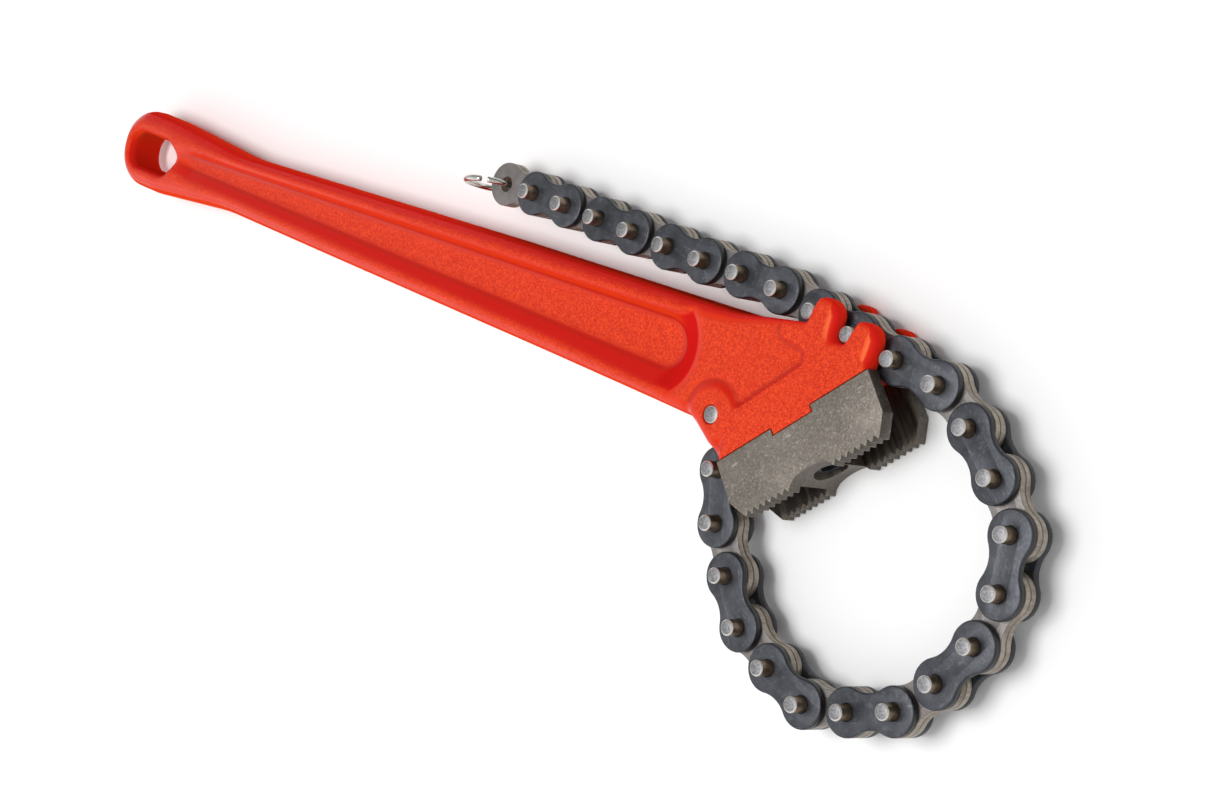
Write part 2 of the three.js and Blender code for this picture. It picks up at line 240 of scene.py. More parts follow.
# ---- materials ----
class Finish:
    """A node material: a Principled shader and small helpers to feed it."""

    def __init__(self, name, **sockets):
        self.material = bpy.data.materials.new(name)
        self.material.use_nodes = True
        self.tree = self.material.node_tree
        self.shader = self.tree.nodes["Principled BSDF"]
        for socket, value in sockets.items():
            self.shader.inputs[socket.replace("_", " ")].default_value = value
        self.place = self.node("ShaderNodeTexCoord").outputs["Object"]
        self.chance = self.node("ShaderNodeObjectInfo").outputs["Random"]
        self.where = self.times(self.chance, 40.0)

    def node(self, kind, inputs=None, **settings):
        made = self.tree.nodes.new(kind)
        for key, value in settings.items():
            setattr(made, key, value)
        for key, value in (inputs or {}).items():
            self.feed(made.inputs[key], value)
        return made

    def feed(self, socket, value):
        if isinstance(value, bpy.types.NodeSocket):
            self.tree.links.new(value, socket)
        else:
            socket.default_value = value

    def math(self, operation, a, b=0.0, c=0.0):
        return self.node("ShaderNodeMath", {0: a, 1: b, 2: c}, operation=operation).outputs[0]

    def times(self, a, b):
        return self.math("MULTIPLY", a, b)

    def noise(self, scale, detail=3.0, stretch=None, roughness=0.5, shift=0.0, place=None):
        """Noise of scale features per metre, different on every piece."""
        place = place or self.place
        if stretch:
            place = self.node("ShaderNodeMapping", {"Vector": place, "Scale": stretch}).outputs[0]
        where = self.math("ADD", self.where, shift)
        inputs = {"Vector": place, "W": where, "Scale": scale, "Detail": detail, "Roughness": roughness}
        return self.node("ShaderNodeTexNoise", inputs, noise_dimensions="4D").outputs["Fac"]

    def ramp(self, value, low, high, to_low=0.0, to_high=1.0):
        ends = {"From Min": low, "From Max": high, "To Min": to_low, "To Max": to_high}
        return self.node("ShaderNodeMapRange", {"Value": value, **ends}, clamp=True).outputs[0]

    def mix(self, factor, a, b):
        made = self.node("ShaderNodeMix", data_type="RGBA")
        self.feed(made.inputs["Factor"], factor)
        self.feed(made.inputs[6], a)
        self.feed(made.inputs[7], b)
        return made.outputs[2]

    def attribute(self, name):
        return self.node("ShaderNodeAttribute", attribute_name=name).outputs["Fac"]

    def facing(self, axis):
        """The part along one of its own axes of the way the object's surface faces, -1 to 1."""
        normal = self.node("ShaderNodeTexCoord").outputs["Normal"]
        return self.node("ShaderNodeSeparateXYZ", {0: normal}).outputs[axis]

    def upward(self):
        """How far the object's surface faces along Z, 0 on walls and 1 on flat faces."""
        return self.math("ABSOLUTE", self.facing("Z"))

    def bump(self, height, depth, strength=1.0, normal=None):
        inputs = {"Height": height, "Distance": depth, "Strength": strength}
        if normal:
            inputs["Normal"] = normal
        return self.node("ShaderNodeBump", inputs).outputs[0]

    def drive(self, **sockets):
        """Feeds the shader, and returns the finished material."""
        for socket, value in sockets.items():
            self.feed(self.shader.inputs[socket.replace("_", " ")], value)
        return self.material


def rgb(r, g, b):
    return (r, g, b, 1.0)


def enamel():
    f = Finish("red_enamel", IOR=1.47, Specular_Tint=rgb(1.0, 0.46, 0.16))
    grain_here = f.attribute("grain")
    corner_shade = f.attribute("corner_shade")
    shaded_end_wall = f.attribute("shaded_end_wall")
    up = f.upward()
    side_on = f.facing("Y")
    sloped = f.ramp(up, 0.84, 0.98, 1.0, 0.0)
    grains = f.noise(2300, 3.0, roughness=0.6)
    lumps = f.noise(1150, 3.0, shift=6.0)
    pits = f.ramp(f.noise(700, 2.0, shift=3.0), 0.24, 0.31, 1.0, 0.0)
    swell = f.noise(45, 3.0, shift=9.0)
    colour = f.mix(f.ramp(swell, 0.35, 0.65), rgb(0.70, 0.028, 0.007), rgb(0.66, 0.024, 0.007))
    # Painted shade: slopes facing +Y, away from the light, are painted a deeper crimson; the recess's
    # near end wall shares it.
    deep = f.times(sloped, f.ramp(side_on, -0.35, 0.0, 0.15, 0.85))
    colour = f.mix(f.math("MAXIMUM", deep, shaded_end_wall), colour, rgb(0.67, 0.012, 0.010))
    # Painted shade: the recess's near end wall, facing away from the light, is painted darker still.
    colour = f.mix(f.times(shaded_end_wall, 0.45), colour, rgb(0.42, 0.006, 0.005))
    # Painted light: upright walls are painted a brighter red than the flats.
    walls = f.ramp(up, 0.15, 0.5, 0.8, 0.0)
    colour = f.mix(walls, colour, rgb(0.84, 0.036, 0.010))
    # Painted highlight: roundings that face -Y are painted a lighter orange, as if lit from the -Y side.
    lower_edge_highlight = f.times(f.ramp(up, 0.35, 0.9, 1.0, 0.0), f.ramp(side_on, -0.75, -0.25, 1.0, 0.0))
    colour = f.mix(f.times(lower_edge_highlight, 0.8), colour, rgb(0.74, 0.060, 0.012))
    rough_skin = f.math("ADD", f.times(grains, 0.6), f.times(lumps, 0.4))
    dark = f.times(f.ramp(rough_skin, 0.43, 0.505, 1.0, 0.0), grain_here)
    colour = f.mix(f.times(dark, 0.85), colour, rgb(0.48, 0.008, 0.004))
    pale = f.times(f.ramp(rough_skin, 0.51, 0.575), grain_here)
    colour = f.mix(f.times(pale, 0.6), colour, rgb(0.90, 0.080, 0.018))
    specks = f.times(pits, grain_here)
    colour = f.mix(f.times(specks, 0.4), colour, rgb(0.26, 0.008, 0.005))
    # Painted shade: darker red at the recess's foot, at the foot of the boss and strip, and inside the
    # hang hole.
    colour = f.mix(f.times(corner_shade, 0.65), colour, rgb(0.40, 0.006, 0.005))
    rough = f.math("ADD", f.ramp(swell, 0.3, 0.7, 0.20, 0.30), f.times(grain_here, 0.16))
    height = f.times(rough_skin, f.ramp(grain_here, 0, 1, 0.04, 1.0))
    height = f.math("SUBTRACT", height, f.times(specks, 0.15))
    normal = f.bump(height, 0.0005, 0.8, f.bump(swell, 0.0006, 0.4))
    shine = f.ramp(f.math("SUBTRACT", up, f.times(shaded_end_wall, 0.5)), 0.62, 0.97, 0.0, 0.5)
    return f.drive(Base_Color=colour, Roughness=rough, Normal=normal, Specular_IOR_Level=shine)


def oxide():
    f = Finish("black_oxide_steel", Metallic=0.6, Specular_IOR_Level=0.5)
    mottle = f.noise(160, 6.0, roughness=0.66)
    fine = f.noise(1300, 3.0, shift=5.0)
    worn = f.ramp(f.noise(420, 4.0, roughness=0.7, shift=11.0), 0.56, 0.68)
    scuff = f.ramp(f.noise(260, 5.0, stretch=(1, 7, 1), shift=7.0), 0.60, 0.72)
    tone = f.ramp(f.math("ADD", mottle, f.times(f.chance, 0.25)), 0.42, 0.85)
    colour = f.mix(tone, rgb(0.036, 0.039, 0.047), rgb(0.085, 0.090, 0.103))
    colour = f.mix(f.times(worn, 0.4), colour, rgb(0.16, 0.165, 0.18))
    colour = f.mix(f.times(scuff, 0.35), colour, rgb(0.20, 0.205, 0.22))
    # Painted shade: the plates' side walls are painted near black.
    side = f.ramp(f.upward(), 0.30, 0.75, 1.0, 0.0)
    colour = f.mix(f.times(side, 0.8), colour, rgb(0.026, 0.024, 0.024))
    rough = f.ramp(f.math("ADD", mottle, fine), 0.7, 1.3, 0.34, 0.54)
    normal = f.bump(f.math("ADD", fine, f.times(mottle, 2.2)), 0.00010, 0.7)
    return f.drive(Base_Color=colour, Roughness=rough, Normal=normal)


def bare_steel():
    f = Finish("oiled_bare_steel", Metallic=0.65, Specular_IOR_Level=0.5)
    mottle = f.noise(240, 5.0, roughness=0.66)
    lines = f.noise(1100, 4.0, stretch=(1, 1, 0.12), roughness=0.65, shift=2.0)
    stain = f.ramp(f.noise(130, 4.0, shift=6.0), 0.50, 0.66)
    top = f.ramp(f.upward(), 0.5, 0.95)
    colour = f.mix(f.ramp(mottle, 0.3, 0.7), rgb(0.19, 0.155, 0.118), rgb(0.36, 0.315, 0.26))
    colour = f.mix(f.ramp(lines, 0.42, 0.62, 0.0, 0.5), colour, rgb(0.50, 0.455, 0.395))
    colour = f.mix(f.times(stain, 0.55), colour, rgb(0.10, 0.072, 0.050))
    flat = f.mix(f.ramp(mottle, 0.3, 0.7), rgb(0.155, 0.145, 0.145), rgb(0.225, 0.21, 0.21))
    colour = f.mix(f.times(top, 0.85), colour, flat)
    rough = f.ramp(lines, 0.3, 0.7, 0.36, 0.58)
    normal = f.bump(f.math("ADD", lines, f.times(mottle, 0.8)), 0.00012, 0.7)
    return f.drive(Base_Color=colour, Roughness=rough, Normal=normal)


def pin_steel():
    f = Finish("pin_steel", Metallic=0.8, Specular_IOR_Level=0.5)
    grains = f.noise(1500, 4.0, roughness=0.65)
    mottle = f.noise(350, 4.0, shift=4.0)
    up = f.upward()
    end = f.ramp(up, 0.35, 0.6)
    # Painted highlight: the chamfer's ring round the end face is painted bright.
    rim_highlight = f.times(end, f.ramp(up, 0.88, 0.96, 1.0, 0.0))
    face = f.mix(f.ramp(grains, 0.38, 0.62), rgb(0.14, 0.14, 0.147), rgb(0.30, 0.295, 0.30))
    # Painted reflection: the shaft is painted a dark brown for the dark surroundings it reflects, while
    # the end face keeps its grey.
    shaft_reflection = f.mix(f.ramp(mottle, 0.35, 0.65), rgb(0.115, 0.078, 0.050), rgb(0.26, 0.20, 0.145))
    colour = f.mix(end, shaft_reflection, face)
    colour = f.mix(f.times(rim_highlight, 0.9), colour, rgb(0.80, 0.78, 0.75))
    rough = f.math("ADD", f.ramp(grains, 0.3, 0.7, 0.28, 0.42), f.times(end, 0.1))
    normal = f.bump(f.times(grains, f.ramp(end, 0, 1, 0.3, 1.0)), 0.00009, 0.7)
    return f.drive(Base_Color=colour, Roughness=rough, Normal=normal)


def jaw_steel():
    f = Finish("ground_jaw_steel", Metallic=0.55, Specular_IOR_Level=0.5)
    seat_turn = (0, 0, math.radians(-45))
    along = f.node("ShaderNodeMapping", {"Vector": f.place, "Rotation": seat_turn}).outputs[0]
    mottle = f.noise(90, 6.0, roughness=0.66)
    grains = f.noise(1300, 4.0, roughness=0.72, shift=3.0)
    scratch = f.noise(700, 5.0, stretch=(0.06, 1, 0.3), shift=8.0, place=along)
    nicks = f.ramp(f.noise(330, 3.0, stretch=(0.25, 1, 1), shift=12.0, place=along), 0.66, 0.73)
    rust = f.ramp(f.noise(420, 3.0, shift=15.0), 0.68, 0.75)
    flecks = f.ramp(f.noise(950, 2.0, shift=18.0), 0.60, 0.67)
    dents = f.ramp(f.noise(600, 2.0, shift=22.0), 0.28, 0.36, 1.0, 0.0)
    colour = f.mix(f.ramp(mottle, 0.35, 0.65), rgb(0.125, 0.105, 0.086), rgb(0.175, 0.152, 0.128))
    colour = f.mix(f.ramp(grains, 0.51, 0.60, 0.0, 0.5), colour, rgb(0.27, 0.245, 0.215))
    colour = f.mix(f.ramp(grains, 0.37, 0.46, 0.45, 0.0), colour, rgb(0.070, 0.058, 0.046))
    colour = f.mix(f.times(flecks, 0.4), colour, rgb(0.38, 0.36, 0.335))
    colour = f.mix(f.times(dents, 0.35), colour, rgb(0.060, 0.050, 0.040))
    colour = f.mix(f.times(nicks, 0.6), colour, rgb(0.50, 0.50, 0.50))
    colour = f.mix(f.times(rust, 0.6), colour, rgb(0.23, 0.085, 0.035))
    up = f.upward()
    z = f.node("ShaderNodeSeparateXYZ", {0: f.place}).outputs["Z"]
    from_middle = f.math("ABSOLUTE", f.math("SUBTRACT", z, MIDDLE * MM))
    # Painted shade: the faces inside the slots between the flanges are painted near black, where shade
    # falls; the milling lines on them are real.
    slot_shade = f.ramp(from_middle, (MIDDLE - WALL + 0.15) * MM, (MIDDLE - WALL + 0.5) * MM, 1.0, 0.0)
    slot_shade = f.times(slot_shade, f.ramp(up, 0.5, 0.9))
    milled = f.noise(500, 4.0, stretch=(1, 0.08, 1), shift=20.0, place=along)
    slot = f.mix(f.ramp(milled, 0.45, 0.66), rgb(0.020, 0.015, 0.011), rgb(0.12, 0.095, 0.07))
    colour = f.mix(f.times(slot_shade, 0.92), colour, slot)
    # Painted shade: faces that stand upright are painted darker.
    side = f.ramp(up, 0.2, 0.7, 1.0, 0.0)
    colour = f.mix(f.times(side, 0.3), colour, rgb(0.085, 0.068, 0.052))
    rough = f.ramp(f.math("ADD", scratch, grains), 0.7, 1.3, 0.34, 0.56)
    height = f.math("ADD", f.times(scratch, 0.8), grains)
    return f.drive(Base_Color=colour, Roughness=rough, Normal=f.bump(height, 0.00014, 0.8))


def nickel():
    f = Finish("bright_nickel", Metallic=1.0)
    film = f.noise(400, 4.0)
    colour = f.mix(f.ramp(film, 0.35, 0.65), rgb(0.50, 0.48, 0.44), rgb(0.72, 0.70, 0.67))
    rough = f.ramp(film, 0.3, 0.7, 0.12, 0.24)
    return f.drive(Base_Color=colour, Roughness=rough, Normal=f.bump(film, 0.00005, 0.4))


def paper():
    f = Finish("pale_floor", Specular_IOR_Level=0.2, Roughness=0.8)
    soft = f.ramp(f.noise(6, 3.0), 0.3, 0.7)
    return f.drive(Base_Color=f.mix(soft, rgb(0.95, 0.95, 0.95), rgb(0.97, 0.97, 0.97)))


# ---- distances and outlines, in millimetres ----
def smooth_max(a, b, k):
    h = np.maximum(k - np.abs(a - b), 0) / k
    return np.maximum(a, b) + h * h * k / 4


def smooth_step(value):
    t = np.clip(value, 0, 1)
    return t * t * (3 - 2 * t)


def distance(points, x, y):
    """Signed distance from a closed polygon, negative inside, and the x part of its slope."""
    squared = np.full(x.shape, 1e9)
    across = np.zeros(x.shape)
    inside = np.zeros(x.shape, bool)
    for (ax, ay), (bx, by) in zip(points, np.roll(points, -1, 0)):
        ex, ey = bx - ax, by - ay
        span = ex * ex + ey * ey
        if span < 1e-12:
            continue
        t = np.clip(((x - ax) * ex + (y - ay) * ey) / span, 0, 1)
        dx = x - ax - t * ex
        here = dx**2 + (y - ay - t * ey) ** 2
        nearer = here < squared
        squared = np.where(nearer, here, squared)
        across = np.where(nearer, dx, across)
        if ay != by:
            crosses = ((ay <= y) != (by <= y)) & (x < ex * (y - ay) / ey + ax)
            inside ^= crosses
    away = np.where(inside, -1, 1) * np.sqrt(squared)
    return away, across / np.where(np.abs(away) < 1e-6, 1e-6, away)


def capsule(a, b, radius_a, radius_b, x, y):
    """Signed distance from a round-ended bar whose radius changes from a to b."""
    ex, ey = b[0] - a[0], b[1] - a[1]
    t = np.clip(((x - a[0]) * ex + (y - a[1]) * ey) / (ex * ex + ey * ey), 0, 1)
    return np.hypot(x - a[0] - t * ex, y - a[1] - t * ey) - (radius_a + t * (radius_b - radius_a))


def rounded(corners, step=5.0):
    """A closed polygon whose corners (x, y, radius) are rounded."""
    points = []
    for i, corner in enumerate(corners):
        here = np.array(corner[:2], float)
        radius = corner[2] if len(corner) > 2 else 0
        if not radius:
            points.append(here)
            continue
        before = np.array(corners[i - 1][:2], float) - here
        after = np.array(corners[(i + 1) % len(corners)][:2], float) - here
        before /= np.linalg.norm(before)
        after /= np.linalg.norm(after)
        turn = math.pi - math.acos(np.clip(before @ after, -1, 1))
        bisector = (before + after) / np.linalg.norm(before + after)
        centre = here + bisector * radius / math.cos(turn / 2)
        first = here + before * radius * math.tan(turn / 2) - centre
        side = 1 if after[0] * before[1] - after[1] * before[0] > 0 else -1
        count = max(2, round(math.degrees(turn) / step))
        for k in range(count + 1):
            c, s = math.cos(side * turn * k / count), math.sin(side * turn * k / count)
            points.append(centre + np.array([c * first[0] - s * first[1], s * first[0] + c * first[1]]))
    return np.array(points)


def seat(u, v):
    """A point of the jaw's seat: u along it, v out of the head."""
    return (SEAT_START[0] + DIAGONAL * (u + v), SEAT_START[1] + DIAGONAL * (u - v))


def seat_uv(x, y):
    dx, dy = x - SEAT_START[0], y - SEAT_START[1]
    return DIAGONAL * (dx + dy), DIAGONAL * (dx - dy)


# ---- the casting: its dimensions in millimetres, and its surface as a field of distances ----
CAST_OUTLINE = rounded([
    (-434.6, -28.6, 17), (-402, -28.2, 40), (-345, -22.0, 120), (-38.5, -19.4, 8),
    seat(0, 0), seat(0, 9), seat(SEAT_LENGTH, 9), seat(SEAT_LENGTH, 0),
    (30.1, 26, 3), (30.1, 34.4, 6), (20.4, 34.4, 2.6), (17.3, 24.7, 2.2), (11.8, 24.7, 3),
    (11.4, 37.2, 6), (1.4, 37.8, 3.6), (-0.7, 27.4, 1.5), (-34, 21.3, 60), (-160, 15.2, 200),
    (-340, 4.4, 120), (-398, 7.4, 60), (-434.6, 7.4, 17),
])
STRIP = rounded([
    seat(-12, 30), seat(90, 30), (45, 45), (-11.4, 45), (-11.4, 19.8, 3), (1.6, 18.2, 2.5),
    (*seat(47, -14.2), 1.5), seat(12, -13.5), seat(0, 0),
])
JOINTS = [np.array(joint["pos_m"]) / MM for joint in frame["joints"]]
ANCHOR = JOINTS[0][:2]

# stations along the handle, and a measure at each of them
CORNER_EDGES = ([-440, -340, -260, -130, -60, -35, -20, -8], [8.4, 8.0, 7.0, 6.6, 5.8, 4.0, 2.6, 1.6])
PAD_STEP = 1.2  # how far the head's flat lies below its strip and boss
HALF_THICKNESS = ([-440, -120, -60, 40], [9.4, 10.6, MIDDLE - PAD_STEP, MIDDLE - PAD_STEP])
WEB_HALF = 5.2
WEB_FADE = ([-396, -376], [8.0, WEB_HALF])
BOSS = 10.6
BOSS_SLOPE = 3.3
STRIP_SLOPE = 1.8
MOAT = (0.3, 2.4, 1.5)  # depth, distance from the boss and width of the groove round the boss
RECESS_FAR = np.array([-392.0, -8.9, 2.2])  # x, y and radius
RECESS_NEAR = np.array([-64.8, 1.1, 8.8])
HANG_FAR = (-416.9, -11.3)
HANG_NEAR = (-399.0, -11.0)
HANG_RADII = (8.1, 8.0)
HOOK_OUTER = np.array([-3.75, 30.75])  # the hooked link's outer pin
FORK_ROOM = 9.4
FORK_SWING = 22.0
TENON_ROOT = 1.0  # how far inside the head the tenon starts
# how widely one surface rounds into the next
STEP_ROUND = 1.4
RECESS_FOOT_ROUND = 2.2
RECESS_RIM_ROUND = 2.0
HANG_ROUND = 4.5
FORK_ROUND = 0.8
BORE_ROUND = 0.5
GRID_ORIGIN = np.array([-437.0, -38.0, -1.6])
GRID_SIZE = np.array([486.0, 82.0, 29.4])
FINE_GRID = 0.62
NUDGE = 0.02


def edge_radius(x, y, facing):
    """How far the casting's edge is rounded: most on the grip, least on the head, more on the horns."""
    edge = np.interp(x, *CORNER_EDGES)
    on_horns = smooth_step((x + 3) / 3) * smooth_step((y - 19) / 4)
    near_side = 2.9 * smooth_step((facing - 0.2) / 0.6)
    far_side = 0.8 * smooth_step((-facing - 0.3) / 0.5)
    return edge + on_horns * (near_side - far_side)


def side_height(x):
    """The casting's half thickness beside the recess and on the head's flat."""
    return np.interp(x, *HALF_THICKNESS)


def recess_distance(x, y):
    """Distance from the recess's floor, and how far its wall runs out for each millimetre it rises."""
    t = np.clip((x - RECESS_FAR[0]) / (RECESS_NEAR[0] - RECESS_FAR[0]), 0, 1)
    middle, radius = (RECESS_FAR + t[..., None] * (RECESS_NEAR - RECESS_FAR))[..., 1:].T
    away = capsule(RECESS_FAR[:2], RECESS_NEAR[:2], RECESS_FAR[2], RECESS_NEAR[2], x, y)
    upwards = smooth_step(0.5 + (y - middle.T) / (radius.T + 3) / 2)
    sides = 1.22 - 0.1 * t + upwards * (-0.25 - 0.37 * t)
    beyond = np.clip((x - RECESS_NEAR[0]) / (RECESS_NEAR[2] + 3), 0, 1)
    return away, sides + (1.7 - sides) * beyond**2


def boss_distance(x, y):
    return np.hypot(x - ANCHOR[0], y - ANCHOR[1]) - BOSS


def hang_distance(x, y):
    return capsule(HANG_FAR, HANG_NEAR, *HANG_RADII, x, y)


def fork_distance(x, y):
    """Distance from the two slots of the fork: one for the hooked links, one for the first link."""
    first_pin = JOINTS[1][:2]
    angle = math.radians(FORK_SWING)
    arm = first_pin - ANCHOR
    swung = ANCHOR + np.array([
        math.cos(angle) * arm[0] - math.sin(angle) * arm[1],
        math.sin(angle) * arm[0] + math.cos(angle) * arm[1],
    ])
    left = HOOK_OUTER + 0.25 * (JOINTS[19][:2] - HOOK_OUTER)
    right = JOINTS[16][:2]
    room, top = FORK_ROOM, 60
    above = np.array([
        (left[0] - room, left[1]), (right[0] + room, right[1]),
        (right[0] + room, top), (left[0] - room, top),
    ])
    return np.minimum.reduce([
        capsule(left, right, room, room, x, y),
        distance(above, x, y)[0],
        capsule(ANCHOR, first_pin, room - 0.2, room, x, y),
        capsule(ANCHOR, swung, room - 0.2, room, x, y),
        capsule(first_pin, swung, room, room, x, y),
    ])


def casting_field(x, y, z):
    """Distance from the handle's surface at every point of a grid: x and y are flat, z is upright."""
    plan, facing = distance(CAST_OUTLINE, x, y)
    u, v = seat_uv(x, y)
    strip = distance(STRIP, x, y)[0]
    boss = boss_distance(x, y)
    side = side_height(x)
    raised = smooth_step(0.5 + smooth_max(-strip / STRIP_SLOPE, -boss / BOSS_SLOPE, STEP_ROUND))
    depth, away, width = MOAT
    moat = depth * np.exp(-(((boss - away) / width) ** 2)) * smooth_step(0.5 + strip / 2.0)
    half = side + raised * (MIDDLE - side) - moat
    edge = edge_radius(x, y, facing)
    height = np.abs(z - MIDDLE)
    across = (plan + edge)[..., None]
    upright = height - (half - edge)[..., None]
    corner = np.hypot(np.maximum(across, 0), np.maximum(upright, 0))
    body = np.minimum(np.maximum(across, upright), 0) + corner - edge[..., None]
    # the recess on both sides, and the hang hole
    recess, run = recess_distance(x, y)
    web = np.interp(x, *WEB_FADE)[..., None]
    run = run[..., None]
    wall = (recess[..., None] - (height - web) * run) / np.hypot(1, run)
    pocket = smooth_max(wall, web - height, RECESS_FOOT_ROUND)
    body = smooth_max(body, -pocket, RECESS_RIM_ROUND)
    body = smooth_max(body, -hang_distance(x, y)[..., None], HANG_ROUND)
    # the fork's slots between the two walls
    between = np.maximum(fork_distance(x, y)[..., None], height - (MIDDLE - WALL))
    body = smooth_max(body, -between, FORK_ROUND)
    # the machined seat with its tenon, crisp
    tenon = np.maximum(np.abs(u - sum(TENON) / 2) - (TENON[1] - TENON[0]) / 2, v - TENON_DEPTH)
    body = np.maximum(body, np.minimum(v, np.maximum(tenon, -v - TENON_ROOT))[..., None])
    # the anchor's bore and the screw's
    bore = (np.hypot(x - ANCHOR[0], y - ANCHOR[1]) - RIVET_HEAD - RIVET_PLAY)[..., None]
    body = smooth_max(body, -bore, BORE_ROUND)
    shank = np.hypot((u - SEAT_LENGTH / 2)[..., None], z - MIDDLE) - SCREW_BORE
    return np.maximum(body, -np.maximum(shank, (-SCREW_BORE_DEPTH - v)[..., None]))


def surface_net(field, origin, step):
    """Vertices and quads of the surface where field is 0; field is negative inside."""
    inside = field < 0
    shape = np.array(field.shape) - 1
    corners = [(i, j, k) for i in (0, 1) for j in (0, 1) for k in (0, 1)]

    def at(array, c):
        return array[c[0]:c[0] + shape[0], c[1]:c[1] + shape[1], c[2]:c[2] + shape[2]]

    total = sum(at(inside, c).astype(np.uint8) for c in corners)
    active = (total > 0) & (total < 8)
    cells = np.argwhere(active)
    index = np.full(tuple(shape), -1, np.int64)
    index[active] = np.arange(len(cells))
    points = np.zeros((len(cells), 3))
    weight = np.zeros(len(cells))
    value = {c: at(field, c)[active] for c in corners}
    for a in corners:
        for axis in range(3):
            if a[axis]:
                continue
            b = tuple(1 if n == axis else a[n] for n in range(3))
            fa, fb = value[a], value[b]
            cut = (fa < 0) != (fb < 0)
            t = np.where(cut, fa / np.where(cut, fa - fb, 1), 0)
            where = np.repeat(np.array([a], float), len(cells), 0)
            where[:, axis] += t
            points += where * cut[:, None]
            weight += cut
    points = (cells + points / weight[:, None]) * step + origin
    quads = []
    for axis in range(3):
        u, v = (axis + 1) % 3, (axis + 2) % 3
        low = np.moveaxis(inside, axis, 0)[:-1]
        high = np.moveaxis(inside, axis, 0)[1:]
        change = np.moveaxis(low != high, 0, axis)
        starts = np.moveaxis(low, 0, axis)
        edge = np.argwhere(change)
        below, beside = edge[:, u], edge[:, v]
        edge = edge[(below > 0) & (beside > 0) & (below < shape[u]) & (beside < shape[v])]
        ring = []
        for du, dv in ((1, 1), (0, 1), (0, 0), (1, 0)):
            cell = edge.copy()
            cell[:, u] -= du
            cell[:, v] -= dv
            ring.append(index[tuple(cell.T)])
        quad = np.stack(ring, 1)
        outward = starts[tuple(edge.T)]
        quads.append(np.where(outward[:, None], quad, quad[:, ::-1]))
    return points, np.concatenate(quads)


def paint_masks(px, py, pz):
    """Where the casting's skin is grained, where shade is painted into its hollows, and the recess's near
    end wall, painted in shade.
    """
    floor, run = recess_distance(px, py)
    low = np.abs(pz - MIDDLE)
    side = side_height(px)
    plan, facing = distance(CAST_OUTLINE, px, py)
    boss = boss_distance(px, py)
    strip = distance(STRIP, px, py)[0]
    flat = 1 - smooth_step((plan + edge_radius(px, py, facing) + 0.6) / 1.2)
    on_floor = smooth_step(-floor / 1.6) * smooth_step((WEB_HALF + 0.8 - low) / 0.5)
    on_head = smooth_step((px + 62) / 14) * smooth_step((floor - 8.0) / 3)
    on_head *= smooth_step((low - 11.2) / 0.6) * flat
    on_head *= 1 - 0.9 * np.exp(-((boss / 1.8) ** 2)) * (strip > 0)
    on_rim = 0.7 * smooth_step((-48 - px) / 14) * smooth_step((floor - 2.0) / 2)
    on_rim *= smooth_step((low - side + 1.6) / 1.2)
    # Painted shade in the hollows: the recess's foot, the foot of the boss and strip, and the hang hole's
    # inside.
    recess_foot_shade = np.exp(-(((floor - 0.4) / 1.3) ** 2)) * smooth_step((WEB_HALF + 3 - low) / 2)
    outside = np.minimum(strip - 1.0, boss - 1.7)
    step_foot_shade = np.exp(-((outside / 0.9) ** 2)) * smooth_step((low - 10.5) / 0.5) * (px > -45) * flat
    hole = 0.6 * smooth_step((1.6 - hang_distance(px, py)) / 1.6) * smooth_step((side - 1.0 - low) / 3)
    # Painted shade: marks the recess's near end wall, which faces away from the light, to be painted
    # dark.
    shaded_end_wall = smooth_step(((side - WEB_HALF) * run - 0.2 - floor) / 1.6)
    shaded_end_wall *= smooth_step(low - WEB_HALF - 0.5) * smooth_step((px - RECESS_NEAR[0] - 1.0) / 6)
    return {
        "grain": np.maximum.reduce([on_floor, on_head, on_rim]),
        "corner_shade": np.maximum.reduce([recess_foot_shade, step_foot_shade, hole]),
        "shaded_end_wall": shaded_end_wall,
    }


def casting():
    step = FINE_GRID
    counts = np.ceil(GRID_SIZE / step).astype(int) + 1
    axes = [GRID_ORIGIN[n] + step * np.arange(counts[n]) for n in range(3)]
    x, y = np.meshgrid(axes[0], axes[1], indexing="ij")
    field = casting_field(x, y, axes[2][None, None, :]).astype(np.float32)
    points, quads = surface_net(field, GRID_ORIGIN, step)

    def exact(place):
        return casting_field(place[:, 0], place[:, 1], place[:, 2:])[:, 0]

    # the grid's points slide down the field's slope onto the surface itself
    value = exact(points)
    slope = np.stack([exact(points + d) - value for d in np.eye(3) * NUDGE], 1) / NUDGE
    squared = np.maximum((slope**2).sum(1), 0.2)
    for _ in range(2):
        points -= slope * np.clip(value / squared, -0.4 * step, 0.4 * step)[:, None]
        value = exact(points)
    piece = mesh_object("handle_casting", points * MM, quads, sharp=50.0)
    for name, values in paint_masks(*points.T).items():
        layer = piece.data.attributes.new(name, "FLOAT", "POINT")
        layer.data.foreach_set("value", values.astype(np.float32))
    return piece


